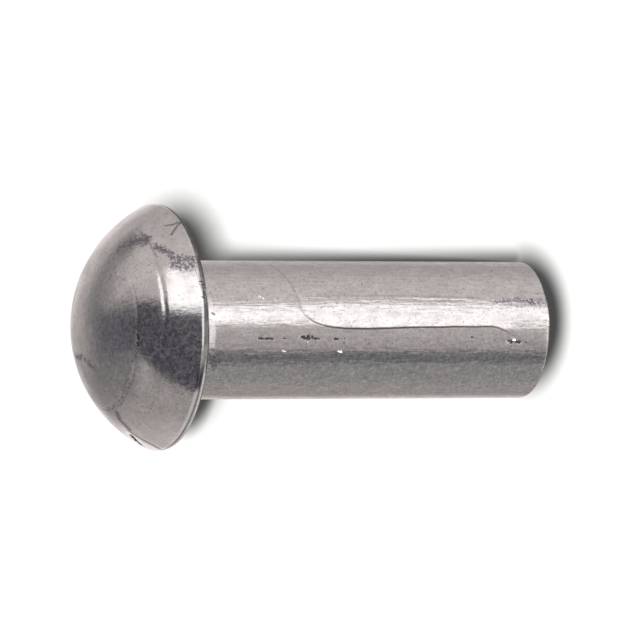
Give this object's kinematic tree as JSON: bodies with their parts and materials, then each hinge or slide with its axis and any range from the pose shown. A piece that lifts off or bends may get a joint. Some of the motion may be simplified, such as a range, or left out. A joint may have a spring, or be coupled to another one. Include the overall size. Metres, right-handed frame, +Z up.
{
  "type": "round head rivet",
  "caption": "Solid round head rivet: a low domed head with a narrow rim land and a flat seat, on a plain straight round shank with a cropped end.",
  "frame": {"origin": "on the axis, in the plane of the flat seat under the head, where the head meets the face of the work", "axes": "+Z up along the axis to the top of the dome, with the shank reaching down along -Z to its cropped end; the part is round, so X and Y are any pair across it"},
  "size_m": [0.0088, 0.0088, 0.0175],
  "materials": {
    "rivet_metal": "satin, as drawn and headed, with die marks, drawing lines and grey handling stains"
  },
  "bodies": {
    "root": {"rivet": "rivet_metal"}
  },
  "joints": []
}
